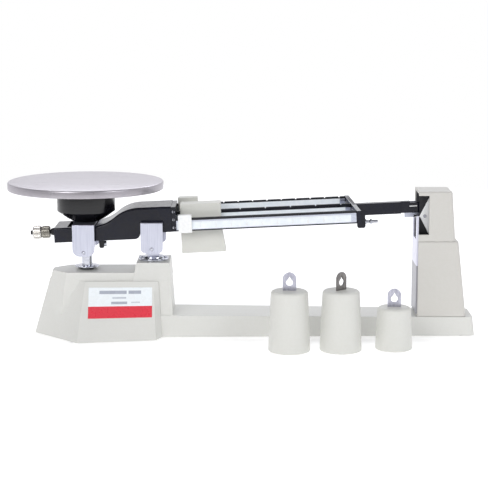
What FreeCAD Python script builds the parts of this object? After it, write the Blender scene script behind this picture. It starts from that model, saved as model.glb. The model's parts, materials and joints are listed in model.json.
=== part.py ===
import FreeCAD, Part
import math
import os

# Triple beam balance, in millimetres.
# X = 0 is the vertical plane through the fulcrum edge, +X points to the index tower, Y = 0 is the
# beam's middle plane, +Y points to the back and Z = 0 is the table.

# ---- beam geometry: what makes it a balance ----
PIVOT_Z = 103.0          # fulcrum edge above the table, which sets the tower's heights too
PAN_ARM = 65.0           # fulcrum edge to pan edge
HANGER_X = 211.0         # fulcrum edge to the collar that carries the attachment weights
REST_TILT = 2.6          # degrees, tip up, against the upper stop
SWING = 4.0              # degrees from the upper stop to the lower one
LINK_DROP = 78.0         # check link's pivots below the two edges

# ---- clearances ----
FREE = 0.3               # between parts that pass each other
RUNNING = 0.05           # radial, shaft in hole
OPEN_PIVOT = 0.3         # radial, the pivot that closes the parallelogram
SEAT = 0.1               # pocket round a part that stays put

# ---- base casting ----
BASE_WALL = 3.0
RIM_Z = 1.0              # underside of the casting, held up by the feet
SHOULDER_Z = 55.0
BLOCK_TOP_Z = 63.0
BOSS_TOP_Z = 72.5
BAR_TOP_LEFT_Z = 22.0
BAR_TOP_RIGHT_Z = 19.0
BAR_LEFT_X = -5.0
BASE_END_X = 312.0
BAR_END_DRAFT = 3.0
BAR_HALF_LEFT = 27.5
BAR_HALF_RIGHT = 21.5
BAR_DRAFT = 1.0
SKIRT_LOW = [(-116.2, 7.0), (-71.0, 53.0), (3.7, 41.0), (8.9, 28.0)]
SKIRT_HIGH = [(-100.5, 6.0), (-64.3, 25.5), (1.0, 25.2), (5.5, 24.5)]
BLOCK_LOW = [(-112.0, 5.0), (-92.0, 26.0), (20.5, 27.0)]
BLOCK_HIGH = [(-97.8, 7.0), (-83.0, 21.5), (16.6, 22.5)]
BOSS_LOW = (-19.0, 17.6, 23.3)       # left x, right x, half depth
BOSS_HIGH = (-15.5, 16.1, 21.5)
FOOT_R = 7.0
FOOT_H = 3.0
FOOT_BOSS_WALL = 2.0
LEFT_FEET = (-72.0, 40.0)
RIGHT_FEET = (298.0, 11.5)
LABEL_X = (-60.9, -0.2)
LABEL_Z = (22.2, 49.7)
LABEL_T = 0.25

# ---- knife edges, bearings and the two brackets ----
KNIFE_HALF_L = 29.0
KNIFE_H = 6.0
KNIFE_HALF_ANGLE = 27.0
GROOVE_HALF_ANGLE = 58.0
EDGE_GAP = 0.05
BEARING_HALF_W = 4.6
BEARING_RISE = 2.0
SHEET = 2.0
BRACKET_HALF_W = 10.5
BRACKET_IN = 30.0        # inner face of the bracket's sides
CROSS_BAR_HALF_W = 6.0
CROSS_BAR_H = 6.0
PAN_BRACKET_UP = 11.0
PAN_BRACKET_DOWN = 19.6
FULCRUM_BRACKET_UP = 10.0
FULCRUM_BRACKET_DOWN = 19.0
BRACKET_CORNER_R = 7.0
RIVET_R = 1.6
FLANGE_R = 14.5
FLANGE_T = 2.0
FLANGE_STEP_R = 10.2
FLANGE_STEP_T = 1.6
FULCRUM_POST_HALF_W = 5.4
POST_R = 5.0
POST_HOLE_R = 6.2
DUST_DISC_R = 11.8
DUST_DISC_T = 1.5
DUST_DISC_ABOVE = 2.6    # disc over the base's top at rest

# ---- pan holder and weighing plate ----
HOLDER_NECK_R = 13.5
HOLDER_R = 28.0
HOLDER_WALL = 2.2
HOLDER_CONE_H = 9.6
HOLDER_H = 37.0
BALLAST_R = 22.0
BALLAST_H = 5.0
PLATE_R = 75.0
PLATE_T = 1.2
PLATE_RIM_H = 7.4
SPIGOT_WALL = 1.2
SPIGOT_H = 6.0

# ---- beam casting ----
BEAM_HALF_W = 23.0
BEAM_LEFT_X = -93.7
BEAM_RIGHT_X = 23.5
BEAM_LOW_Z = -6.4
BEAM_ARM_TOP_Z = 7.5
BEAM_TOP_Z = 23.6
BEAM_STEP_X = -11.4
BEAM_CORNER_R = 5.5
RISE_START_X = -58.0
RISE_END_X = -12.0
BEAM_WINDOW_X = (-81.5, -54.0)
RAIL_T = 4.5
BEAM_TOP_T = 4.0
BEAM_HOLLOW_X = (-44.0, 11.0)
NOSE_X = 19.0
NOSE_INSET = 0.7
LUG_X = (-53.0, -48.2)
LUG_HALF_W = 6.0
LUG_H = 10.0
LUG_SCREW_R = 1.5

# ---- the three bars ----
BAR_H = 12.5
BAR_T = 3.0
BAR_START_X = 15.5
NOTCH_DEPTH = 1.4
NOTCH_HALF_ANGLE = 32.0
STRIP_T = 0.3
STRIP_SHORT = 5.0        # strip ends before the bar does
# name: middle Y, bottom Z, end X, notch pitch, notches, zero notch X, strip bottom, strip height
BARS = {
    "front": (-20.5, -0.9, 195.6, 0.0, 0, 0.0, 1.8, 7.0),
    "middle": (0.0, 3.1, 191.6, 24.36, 5, 60.6, 1.5, 7.6),
    "back": (20.5, 7.4, 187.6, 14.15, 10, 40.6, 1.8, 8.8),
}
END_FRAME_T = 4.2
END_FRAME_HALF_W = 22.5
TIP_BAR_HALF_W = 4.0
TIP_BAR_Z = (3.8, 15.1)
TIP_BAR_END_X = 240.0
HANGER_LUG_X = (197.4, 205.4)
HANGER_LUG_LOW_Z = -8.5
HANGER_Z = -3.1
STUD_R = 1.5
STUD_END_X = 217.6
STUD_COLLAR_R = 2.7
STUD_COLLAR_L = 3.2
TIP_X = 259.0
TIP_HALF_W = 3.0
TIP_NOTCH_X = 249.0
TIP_NOTCH_DEPTH = 1.2
MARK_L = 7.2
MARK_H = 0.9
MARK_X = 248.6
MARK_Z = 10.2
VANE_T = 1.2
VANE_X = (244.0, 277.0)
VANE_Z = (-1.0, 14.6)

# ---- zero knob ----
ZERO_ROD_R = 2.0
ZERO_ROD_END_X = -119.0
ZERO_ROD_IN = 9.0        # length screwed into the casting
ZERO_Z = 0.9
ZERO_CONE = (4.6, 3.0, 5.6)          # radii at the casting and at the nut, length
LOCK_NUT_X = (-108.4, -100.2)
LOCK_NUT_R = 5.9
KNOB_X = (-116.6, -108.7)
KNOB_R = 6.4

# ---- riders: x range, half depth, bottom and top over the bar's bottom ----
BACK_RIDER = (24.4, 43.6, 6.2, -4.0, 18.9)
MIDDLE_RIDER = (27.0, 66.4, 9.6, -27.6, 20.1)
MIDDLE_RIDER_FLARE = 3.2
FRONT_RIDER = (25.4, 38.4, 3.9, -1.5, 15.6)
RIDER_SLOT = 0.5

# ---- index tower ----
TOWER_LEFT_X = 255.2
TOWER_LOW = (302.3, 20.5)            # right x, half depth, at the base
TOWER_MID = (294.0, 19.9)
CAP_LOW = (291.0, 19.0)
CAP_HIGH = (287.5, 18.2)
TOWER_MID_Z = PIVOT_Z - 10.0
TOWER_TOP_Z = PIVOT_Z + 38.0
TOWER_WALL = 2.5
WINDOW_X = 265.2
WINDOW_Z = (PIVOT_Z - 3.7, PIVOT_Z + 33.9)
FACE_PLATE_T = 1.6
FACE_PLATE_TOP_Z = PIVOT_Z + 14.5
FACE_SLOT_HALF_W = 10.6
FACE_SLOT_Z = PIVOT_Z - 9.0
INDEX_T = 1.2
INDEX_MARK_T = 0.4
INDEX_SCREW_IN = 3.4     # screw's distance in from the window's edge
INDEX_Y = -8.6
INDEX_Z = PIVOT_Z + 13.4
INDEX_TONGUE_X = 251.2
INDEX_TONGUE_HALF_H = 1.1
MAGNET = (6.0, 13.0, 16.0)           # thickness, width, height
MAGNET_GAP = 1.3
YOKE_T = 2.0
SPOT_FACE = 0.4          # flat seat for a screw head on the drafted wall
STOP_PAD = (5.0, 5.0)               # length, width

# ---- attachment weights: x, y, bottom radius, top radius, height, eye's turn ----
WEIGHTS = {
    "weight_a": (129.9, -77.0, 19.75, 17.25, 57.0, 0.0),
    "weight_b": (177.9, -75.0, 19.75, 17.25, 57.0, 42.0),
    "weight_c": (227.9, -69.0, 17.5, 15.5, 40.0, 0.0),
}
WEIGHT_EDGE_R = 3.0
EYE_T = 1.5
EYE_W = 12.5
EYE_H = 17.0
EYE_ROOT = 8.0
EYE_HOLE_R = 3.3
EYE_HOLE_UP = 7.5

UP = FreeCAD.Vector(0, 0, 1)
ACROSS = FreeCAD.Vector(0, 1, 0)
ALONG = FreeCAD.Vector(1, 0, 0)
os.makedirs("parts", exist_ok=True)


def vec(x, y, z):
    return FreeCAD.Vector(x, y, z)


def box(x0, x1, y0, y1, z0, z1):
    return Part.makeBox(x1 - x0, y1 - y0, z1 - z0, vec(x0, y0, z0))


def rod(radius, start, end):
    """Cylinder between two points."""
    run = end - start
    return Part.makeCylinder(radius, run.Length, start, run)


def fuse(shapes):
    body = shapes[0]
    for shape in shapes[1:]:
        body = body.fuse(shape)
    return body.removeSplitter()


def closed_wire(points):
    return Part.makePolygon(points + [points[0]])


def plan(half_outline, z):
    """Closed outline at height z from the half of it that has positive y, left to right."""
    near = [vec(x, -y, z) for x, y in half_outline]
    far = [vec(x, y, z) for x, y in reversed(half_outline)]
    return closed_wire(near + far)


def inset(wire, wall):
    return wire.makeOffset2D(-wall, 2, False, False, False)


def loft(low, high):
    return Part.makeLoft([low, high], True, True)


def hollow_pair(low, high, wall):
    """A drafted block and the space inside it, open at the bottom and roofed by the wall."""
    inner_low = inset(low, wall)
    inner_low.translate(vec(0, 0, -0.5 * wall))
    inner_high = inset(high, wall)
    inner_high.translate(vec(0, 0, -wall))
    return loft(low, high), loft(inner_low, inner_high)


def side_prism(points, y0, y1):
    """Outline in X and Z, pushed from y0 to y1."""
    face = Part.Face(closed_wire([vec(x, y0, z) for x, z in points]))
    return face.extrude(vec(0, y1 - y0, 0))


def edges_along(shape, direction, keep):
    """Straight edges parallel to direction whose middle point passes keep."""
    found = []
    for edge in shape.Edges:
        run = edge.Vertexes[-1].Point - edge.Vertexes[0].Point
        if run.Length < 0.1 or edge.Length - run.Length > 0.001:
            continue
        if run.normalize().cross(direction).Length > 0.35:
            continue
        if keep(edge.CenterOfMass):
            found.append(edge)
    return found


def tilt(shape):
    """From the level beam to the rest pose, tip up."""
    done = shape.copy()
    done.rotate(vec(0, 0, PIVOT_Z), ACROSS, -REST_TILT)
    return done


def level(shape):
    """Lifts a shape drawn round the fulcrum edge to its height."""
    done = shape.copy()
    done.translate(vec(0, 0, PIVOT_Z))
    return done


def save(name, shape):
    shape.exportStep("parts/" + name + ".step")


def save_group(name, shapes):
    save(name, Part.makeCompound(shapes))


def save_beam(name, *shapes):
    tilted = [tilt(level(shape)) for shape in shapes]
    if len(tilted) == 1:
        save(name, tilted[0])
    else:
        save_group(name, tilted)


def both_sides(shape):
    return [shape, shape.mirror(vec(0, 0, 0), ACROSS)]


PAN_X = -PAN_ARM * math.cos(math.radians(REST_TILT))
PAN_Z = PIVOT_Z - PAN_ARM * math.sin(math.radians(REST_TILT))
LINK_Z = PIVOT_Z - LINK_DROP
POST_FOOT_Z = PAN_Z - LINK_DROP


# ---------------------------------------------------------------- base
def bar_outlines():
    low = [
        (BAR_LEFT_X, BAR_HALF_LEFT),
        (BASE_END_X - BAR_DRAFT, BAR_HALF_RIGHT),
    ]
    bottom = plan(low, RIM_Z)
    end = BASE_END_X - BAR_END_DRAFT
    left, right = BAR_HALF_LEFT - BAR_DRAFT, BAR_HALF_RIGHT - BAR_DRAFT
    top = closed_wire([
        vec(BAR_LEFT_X, -left, BAR_TOP_LEFT_Z),
        vec(end, -right, BAR_TOP_RIGHT_Z),
        vec(end, right, BAR_TOP_RIGHT_Z),
        vec(BAR_LEFT_X, left, BAR_TOP_LEFT_Z),
    ])
    return bottom, top


def foot_places():
    return [
        (x, side * y)
        for x, y in (LEFT_FEET, RIGHT_FEET)
        for side in (-1, 1)
    ]


def make_skirt():
    return loft(plan(SKIRT_LOW, RIM_Z), plan(SKIRT_HIGH, SHOULDER_Z))


def make_base():
    boss_low = [(BOSS_LOW[0], BOSS_LOW[2]), (BOSS_LOW[1], BOSS_LOW[2])]
    boss_high = [(BOSS_HIGH[0], BOSS_HIGH[2]), (BOSS_HIGH[1], BOSS_HIGH[2])]
    bar, bar_inner = hollow_pair(*bar_outlines(), BASE_WALL)
    bar = bar.makeFillet(4.0, edges_along(bar, UP, lambda c: c.x > BASE_END_X / 2))
    pairs = [
        hollow_pair(plan(SKIRT_LOW, RIM_Z), plan(SKIRT_HIGH, SHOULDER_Z), BASE_WALL),
        hollow_pair(plan(BLOCK_LOW, RIM_Z), plan(BLOCK_HIGH, BLOCK_TOP_Z), BASE_WALL),
        hollow_pair(plan(boss_low, SHOULDER_Z), plan(boss_high, BOSS_TOP_Z), BASE_WALL),
        (bar, bar_inner),
    ]
    outer = fuse([pair[0] for pair in pairs])
    body = outer
    for _, inner in pairs:
        body = body.cut(inner)
    for x, y in foot_places():
        boss_r = FOOT_R + FOOT_BOSS_WALL
        boss = Part.makeCylinder(boss_r, 3 * FOOT_H, vec(x, y, RIM_Z), UP)
        body = body.fuse(boss.common(outer))
        pocket_h = FOOT_H - RIM_Z
        body = body.cut(Part.makeCylinder(FOOT_R + SEAT, pocket_h, vec(x, y, RIM_Z), UP))
    post_hole = Part.makeCylinder(POST_HOLE_R, 20, vec(PAN_X, 0, BLOCK_TOP_Z - 10), UP)
    body = body.cut(post_hole)
    for x, y in flange_screw_places():
        body = body.cut(Part.makeCylinder(1.5, 10, vec(x, y, BOSS_TOP_Z - 8), UP))
    for x, y in tower_screw_places():
        body = body.cut(Part.makeCylinder(1.6, 14, vec(x, y, RIM_Z + 8), UP))
    save("base_casting", body.removeSplitter())
    feet = [Part.makeCylinder(FOOT_R, FOOT_H, vec(x, y, 0), UP) for x, y in foot_places()]
    feet = [foot.makeChamfer(0.6, [foot.Edges[2]]) for foot in feet]
    save_group("rubber_feet", feet)


def make_label():
    skirt = make_skirt()
    shifted = skirt.copy()
    shifted.translate(vec(0, -LABEL_T, 0))
    skin = shifted.cut(skirt)
    window = box(*LABEL_X, -60, -10, *LABEL_Z)
    save("front_label", skin.common(window).Solids[0])


# ---------------------------------------------------------------- knife edges and bearings
def knife_profile():
    """Five-sided section with its edge at the origin, pointing down."""
    shoulder = KNIFE_H * 0.6
    half = shoulder * math.tan(math.radians(KNIFE_HALF_ANGLE))
    return [(0, 0), (half, shoulder), (half, KNIFE_H), (-half, KNIFE_H), (-half, shoulder)]


def bearing_profile(depth):
    """Block with a V groove on top whose bottom lies just under the origin."""
    rise = BEARING_RISE
    half = (rise + EDGE_GAP) * math.tan(math.radians(GROOVE_HALF_ANGLE))
    return [
        (-BEARING_HALF_W, -depth),
        (BEARING_HALF_W, -depth),
        (BEARING_HALF_W, rise),
        (half, rise),
        (0, -EDGE_GAP),
        (-half, rise),
        (-BEARING_HALF_W, rise),
    ]


def upside_down(points):
    return [(x, -z) for x, z in points]


def shifted_points(points, dx, dz):
    return [(x + dx, z + dz) for x, z in points]


def make_fulcrum_knife():
    return side_prism(knife_profile(), -KNIFE_HALF_L, KNIFE_HALF_L)


def make_pan_knife():
    outline = shifted_points(upside_down(knife_profile()), -PAN_ARM, 0)
    return side_prism(outline, -KNIFE_HALF_L, KNIFE_HALF_L)


def bearing_pair(outline):
    first = BEAM_HALF_W + 1.6
    return both_sides(side_prism(outline, first, BRACKET_IN))


def rounded_plate(half_w, low, high, radius):
    """Bracket side: square on top, rounded corners at the bottom."""
    plate = box(-half_w, half_w, BRACKET_IN, BRACKET_IN + SHEET, low, high)
    corners = edges_along(plate, ACROSS, lambda c: c.z < low + 0.1)
    return plate.makeFillet(radius, corners)


def rivets(x, z):
    """One round-headed rivet through each side of a bracket."""
    face = BRACKET_IN + SHEET
    head = Part.makeSphere(RIVET_R * 1.25, vec(x, face - 0.6, z))
    head = head.common(box(x - 5, x + 5, face, face + 5, z - 5, z + 5))
    shank = rod(RIVET_R, vec(x, BRACKET_IN - 4, z), vec(x, face, z))
    return both_sides(fuse([shank, head]))


def rivet_holes(x, z):
    start = vec(x, BRACKET_IN - 4, z)
    return both_sides(rod(RIVET_R, start, vec(x, BRACKET_IN + SHEET, z)))


# ---------------------------------------------------------------- fulcrum
def flange_screw_places():
    place = (FLANGE_R + FLANGE_STEP_R) / 2
    return [(-place, 0), (place, 0)]


def make_fulcrum():
    low, high = PIVOT_Z - FULCRUM_BRACKET_DOWN, PIVOT_Z + FULCRUM_BRACKET_UP
    bar_low = PIVOT_Z - FULCRUM_BRACKET_DOWN - 1.5
    bar_high = bar_low + CROSS_BAR_H
    rivet_z = low + 3.6
    side = rounded_plate(BRACKET_HALF_W, low, high, 4.0)
    tab_in = BEAM_HALF_W + 1.6
    tab = box(-BRACKET_HALF_W, BRACKET_HALF_W, tab_in, BRACKET_IN + SHEET, high - SHEET, high)
    side = side.fuse(tab).removeSplitter()
    bend = edges_along(side, ALONG, lambda c: c.z > high - 0.1 and c.y > BRACKET_IN + 1)
    side = side.makeFillet(1.2, bend)
    sides = both_sides(side)
    holes = rivet_holes(0, rivet_z)
    sides = [sides[i].cut(holes[i]) for i in range(2)]
    save_group("fulcrum_side_plates", sides)
    step_top = BOSS_TOP_Z + FLANGE_T + FLANGE_STEP_T
    flange = fuse([
        Part.makeCylinder(FLANGE_R, FLANGE_T, vec(0, 0, BOSS_TOP_Z), UP),
        Part.makeCylinder(FLANGE_STEP_R, FLANGE_T + FLANGE_STEP_T, vec(0, 0, BOSS_TOP_Z), UP),
    ])
    post_half = FULCRUM_POST_HALF_W
    post = box(-post_half, post_half, -post_half, post_half, step_top, bar_low)
    for x, y in flange_screw_places():
        flange = flange.cut(Part.makeCylinder(1.6, 20, vec(x, y, BOSS_TOP_Z - 5), UP))
    save("fulcrum_flange", flange)
    save("fulcrum_post", post)
    bar_w = CROSS_BAR_HALF_W
    cross = box(-bar_w, bar_w, -BRACKET_IN, BRACKET_IN, bar_low, bar_high)
    for hole in holes:
        cross = cross.cut(hole)
    save("fulcrum_cross_bar", cross)
    save_group("fulcrum_rivets", rivets(0, rivet_z))
    profile = shifted_points(bearing_profile(9.0), 0, PIVOT_Z)
    save_group("fulcrum_bearings", bearing_pair(profile))
    screws = []
    for x, y in flange_screw_places():
        top = BOSS_TOP_Z + FLANGE_T
        head = Part.makeCylinder(1.9, 1.0, vec(x, y, top), UP)
        shank = Part.makeCylinder(1.5, 7.5, vec(x, y, top - 7.5), UP)
        screws.append(fuse([shank, head]))
    save_group("flange_screws", screws)


# ---------------------------------------------------------------- pan support
def make_pan_support():
    low, high = PAN_Z - PAN_BRACKET_DOWN, PAN_Z + PAN_BRACKET_UP
    rivet_z = low + 3.8
    bar_low = low + 0.8
    bar_high = bar_low + CROSS_BAR_H
    side = rounded_plate(BRACKET_HALF_W, low, high, BRACKET_CORNER_R)
    sides = both_sides(side)
    reach = BRACKET_IN + SHEET
    top = box(-BRACKET_HALF_W, BRACKET_HALF_W, -reach, reach, high - SHEET, high)
    stirrup = fuse([sides[0], sides[1], top])
    bends = edges_along(stirrup, ALONG, lambda c: c.z > high - 0.1)
    stirrup = stirrup.makeFillet(1.2, bends)
    screw_hole = Part.makeCylinder(2.0, 20, vec(0, 0, high - 10), UP)
    holes = rivet_holes(0, rivet_z)
    for hole in holes + [screw_hole]:
        stirrup = stirrup.cut(hole)
    bar_w = CROSS_BAR_HALF_W
    cross = box(-bar_w, bar_w, -BRACKET_IN, BRACKET_IN, bar_low, bar_high)
    for hole in holes:
        cross = cross.cut(hole)
    post = rod(POST_R, vec(0, 0, POST_FOOT_Z - 4), vec(0, 0, bar_low))
    pin_hole = rod(STUD_R, vec(0, -POST_R, POST_FOOT_Z), vec(0, POST_R, POST_FOOT_Z))
    post = post.cut(pin_hole)
    disc_z = BLOCK_TOP_Z + DUST_DISC_ABOVE
    disc = Part.makeCylinder(DUST_DISC_R, DUST_DISC_T, vec(0, 0, disc_z), UP)
    disc = disc.cut(rod(POST_R, vec(0, 0, 0), vec(0, 0, PIVOT_Z)))
    pin = rod(STUD_R, vec(0, -POST_R - 0.6, POST_FOOT_Z), vec(0, LINK_Y[1] + 1.0, POST_FOOT_Z))
    profile = shifted_points(upside_down(bearing_profile(PAN_BRACKET_UP - SHEET)), 0, PAN_Z)
    shapes = {
        "pan_stirrup": [stirrup],
        "pan_cross_bar": [cross],
        "pan_post": [post],
        "dust_disc": [disc],
        "post_foot_pin": [pin],
        "pan_rivets": rivets(0, rivet_z),
        "pan_bearings": bearing_pair(profile),
        "pan_holder": [make_holder(high)],
        "holder_screw": [make_holder_screw(high)],
        "tare_ballast": [make_ballast(high)],
    }
    for name, solids in shapes.items():
        placed = [solid.translated(vec(PAN_X, 0, 0)) for solid in solids]
        save(name, placed[0] if len(placed) == 1 else Part.makeCompound(placed))
    make_plate(high)


def revolve(points):
    """Outline in radius and Z, turned round the Z axis."""
    face = Part.Face(closed_wire([vec(r, 0, z) for r, z in points]))
    return face.revolve(vec(0, 0, 0), UP, 360)


def make_holder(z):
    wall = HOLDER_WALL
    cone_top, top = z + HOLDER_CONE_H, z + HOLDER_H
    outline = [
        (2.0 + RUNNING, z),
        (HOLDER_NECK_R, z),
        (HOLDER_R, cone_top),
        (HOLDER_R, top),
        (HOLDER_R - wall, top),
        (HOLDER_R - wall, cone_top + wall / 2),
        (HOLDER_NECK_R - wall, z + wall),
        (2.0 + RUNNING, z + wall),
    ]
    return revolve(outline)


def make_holder_screw(z):
    seat = z + HOLDER_WALL
    head = Part.makeCylinder(4.0, 2.4, vec(0, 0, seat), UP)
    shank = rod(2.0 - RUNNING, vec(0, 0, z - SHEET - 1.5), vec(0, 0, seat))
    nut = Part.makeCylinder(3.6, 1.5, vec(0, 0, z - SHEET - 1.5), UP)
    return fuse([head, shank, nut])


def make_ballast(z):
    low = z + HOLDER_CONE_H + HOLDER_WALL
    disc = Part.makeCylinder(BALLAST_R, BALLAST_H, vec(0, 0, low), UP)
    seat = Part.makeCylinder(5.0, 6.0, vec(0, 0, low - 6.0), UP)
    return disc.fuse(seat).cut(Part.makeCylinder(4.2, 6.5, vec(0, 0, low - 6.5), UP))


def make_plate(z):
    under = z + HOLDER_H
    top = under + PLATE_T
    rim_low = top - PLATE_RIM_H
    outline = [
        (0, under),
        (PLATE_R - 2.2, under),
        (PLATE_R - 1.2, under - 1.0),
        (PLATE_R - 1.2, rim_low),
        (PLATE_R, rim_low),
        (PLATE_R, top - 1.4),
        (PLATE_R - 1.4, top),
        (0, top),
    ]
    plate = revolve(outline)
    save("weighing_plate", plate.translated(vec(PAN_X, 0, 0)))
    outer = HOLDER_R - HOLDER_WALL - FREE
    ring = Part.makeCylinder(outer, SPIGOT_H, vec(0, 0, under - SPIGOT_H), UP)
    ring = ring.cut(Part.makeCylinder(outer - SPIGOT_WALL, SPIGOT_H, vec(0, 0, under - SPIGOT_H), UP))
    save("plate_locating_ring", ring.translated(vec(PAN_X, 0, 0)))


# ---------------------------------------------------------------- check link
LINK_Y = (POST_R + 0.8, POST_R + 2.8)
ANCHOR_Y = (LINK_Y[1] + 0.8, LINK_Y[1] + 3.8)


def make_check_link():
    y0, y1 = LINK_Y
    link = fuse([
        box(-PAN_ARM, 0, y0, y1, -3.0, 3.0),
        rod(4.2, vec(0, y0, 0), vec(0, y1, 0)),
        rod(4.2, vec(-PAN_ARM, y0, 0), vec(-PAN_ARM, y1, 0)),
    ])
    link = link.cut(rod(STUD_R + RUNNING, vec(0, y0, 0), vec(0, y1, 0)))
    link = link.cut(rod(STUD_R + OPEN_PIVOT, vec(-PAN_ARM, y0, 0), vec(-PAN_ARM, y1, 0)))
    link.rotate(vec(0, 0, 0), ACROSS, -REST_TILT)
    link.translate(vec(0, 0, LINK_Z))
    save("check_link", link)
    roof = BOSS_TOP_Z - BASE_WALL
    strip = fuse([
        box(-5.0, 5.0, ANCHOR_Y[0], ANCHOR_Y[1], LINK_Z - 5.0, roof),
        box(-5.0, 5.0, ANCHOR_Y[0] - 6.0, ANCHOR_Y[1], roof - 3.0, roof),
    ])
    head_y = LINK_Y[0] - 0.4
    pin = fuse([
        rod(STUD_R, vec(0, head_y, LINK_Z), vec(0, ANCHOR_Y[1], LINK_Z)),
        rod(STUD_R + 1.2, vec(0, head_y - 1.2, LINK_Z), vec(0, head_y, LINK_Z)),
    ])
    save("link_anchor", fuse([strip, pin]))


# ---------------------------------------------------------------- beam casting
def line(a, b):
    return Part.LineSegment(vec(a[0], 0, a[1]), vec(b[0], 0, b[1])).toShape()


def arc(a, middle, b):
    points = [vec(p[0], 0, p[1]) for p in (a, middle, b)]
    return Part.Arc(*points).toShape()


def beam_side_face(drop, low_extra, x0, x1):
    """Side outline of the casting: low arms on the left and an S-shaped rise to the tall nose."""
    arm_top, top = BEAM_ARM_TOP_Z - drop, BEAM_TOP_Z - drop
    run, rise = RISE_END_X - RISE_START_X, top - arm_top
    radius = (run * run + rise * rise) / (4 * rise)
    turn = math.asin(run / (2 * radius))
    half_x, half_z = radius * math.sin(turn / 2), radius * (1 - math.cos(turn / 2))
    start, end = (RISE_START_X, arm_top), (RISE_END_X, top)
    middle = ((start[0] + end[0]) / 2, (arm_top + top) / 2)
    step_r = BEAM_CORNER_R
    low = BEAM_LOW_Z - low_extra
    corner_from = (BEAM_STEP_X - step_r, low)
    corner_mid = (
        BEAM_STEP_X - step_r + step_r * math.sin(math.pi / 4),
        low + step_r * (1 - math.cos(math.pi / 4)),
    )
    corner_to = (BEAM_STEP_X, low + step_r)
    edges = [
        line((x0, low), corner_from),
        arc(corner_from, corner_mid, corner_to),
        line(corner_to, (x1, corner_to[1])),
        line((x1, corner_to[1]), (x1, top)),
        line((x1, top), end),
        arc(end, (end[0] - half_x, top - half_z), middle),
        arc(middle, (start[0] + half_x, arm_top + half_z), start),
        line(start, (x0, arm_top)),
        line((x0, arm_top), (x0, low)),
    ]
    return Part.Face(Part.Wire(edges))


def beam_slab(drop, low_extra, x0, x1, half_w):
    face = beam_side_face(drop, low_extra, x0, x1)
    face.translate(vec(0, -half_w, 0))
    return face.extrude(vec(0, 2 * half_w, 0))


def bar_solid(name, grow=0.0):
    y, z, end = BARS[name][0:3]
    half = BAR_T / 2 + grow
    return box(BAR_START_X - grow, end + grow, y - half, y + half, z - grow, z + BAR_H + grow)


def make_beam_casting():
    body = beam_slab(0, 0, BEAM_LEFT_X, BEAM_RIGHT_X, BEAM_HALF_W)
    rail_in = BEAM_HALF_W - RAIL_T
    body = body.cut(box(*BEAM_WINDOW_X, -rail_in, rail_in, -30, 60))
    hollow = beam_slab(BEAM_TOP_T, 20, BEAM_HOLLOW_X[0] - 60, BEAM_HOLLOW_X[1] + 40, rail_in)
    hollow = hollow.common(box(*BEAM_HOLLOW_X, -rail_in, rail_in, -30, 60))
    body = body.cut(hollow)
    nose_half = BEAM_HALF_W - NOSE_INSET
    ring = box(NOSE_X, BEAM_RIGHT_X, -40, 40, -40, 60)
    core_top = BEAM_TOP_Z - NOSE_INSET
    ring = ring.cut(box(NOSE_X, BEAM_RIGHT_X, -nose_half, nose_half, -40, core_top))
    body = body.cut(ring)
    top_edges = [
        edge for edge in body.Edges
        if abs(abs(edge.CenterOfMass.y) - BEAM_HALF_W) < 0.01
        and edge.CenterOfMass.z > BEAM_ARM_TOP_Z - 1
        and edge.BoundBox.XLength > 5
    ]
    body = body.makeFillet(2.0, top_edges)
    lug = box(*LUG_X, -LUG_HALF_W, LUG_HALF_W, BEAM_LOW_Z - LUG_H, BEAM_LOW_Z + 2)
    lug = lug.makeFillet(1.6, edges_along(lug, ACROSS, lambda c: c.z < BEAM_LOW_Z - LUG_H + 0.1))
    body = body.fuse(lug)
    body = body.cut(lug_screw_shank(SEAT))
    for knife in (make_fulcrum_knife(), make_pan_knife()):
        body = body.cut(knife)
    for name in BARS:
        body = body.cut(bar_solid(name, SEAT))
    rod_end = vec(BEAM_LEFT_X + ZERO_ROD_IN, 0, ZERO_Z)
    body = body.cut(rod(ZERO_ROD_R, vec(BEAM_LEFT_X, 0, ZERO_Z), rod_end))
    save_beam("beam_casting", body.removeSplitter())
    save_beam("fulcrum_knife_edge", make_fulcrum_knife())
    save_beam("pan_knife_edge", make_pan_knife())


def lug_screw_shank(grow):
    z = BEAM_LOW_Z - LUG_H + 3.4
    return rod(LUG_SCREW_R + grow, vec(LUG_X[0], 0, z), vec(LUG_X[1], 0, z))


def make_lug_screw():
    z = BEAM_LOW_Z - LUG_H + 3.4
    head = rod(2.6, vec(LUG_X[1], 0, z), vec(LUG_X[1] + 2.0, 0, z))
    save_beam("sensitivity_screw", fuse([lug_screw_shank(0), head]))


# ---------------------------------------------------------------- bars
def notch(x, y, top):
    half = NOTCH_DEPTH * math.tan(math.radians(NOTCH_HALF_ANGLE))
    outline = [(x - half, top), (x, top - NOTCH_DEPTH), (x + half, top)]
    return side_prism(outline, y - BAR_T, y + BAR_T)


def make_bars():
    strips = []
    for name, (y, z, end, pitch, count, zero_x, strip_low, strip_h) in BARS.items():
        bar = bar_solid(name)
        if pitch:
            for i in range(count + 1):
                bar = bar.cut(notch(zero_x + i * pitch, y, z + BAR_H))
        save_beam(name + "_bar", bar)
        face = y - BAR_T / 2
        x0 = BEAM_RIGHT_X + 0.6
        x1 = end - STRIP_SHORT
        strips.append(box(x0, x1, face - STRIP_T, face, z + strip_low, z + strip_low + strip_h))
    save_beam("scale_strips", *strips)


def slanted_frame():
    """Cross piece that ties the three bar ends, set back on the far side."""
    front, back = BARS["front"], BARS["back"]
    half = END_FRAME_HALF_W
    slope = (front[2] - back[2]) / (back[0] - front[0])
    rise = (back[1] - front[1]) / (back[0] - front[0])

    def section(y):
        x = front[2] - slope * (y - front[0]) + SEAT
        z = front[1] + rise * (y - front[0])
        corners = [(x, z), (x + END_FRAME_T, z), (x + END_FRAME_T, z + BAR_H), (x, z + BAR_H)]
        return closed_wire([vec(cx, y, cz) for cx, cz in corners])

    return loft(section(-half), section(half))


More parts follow.
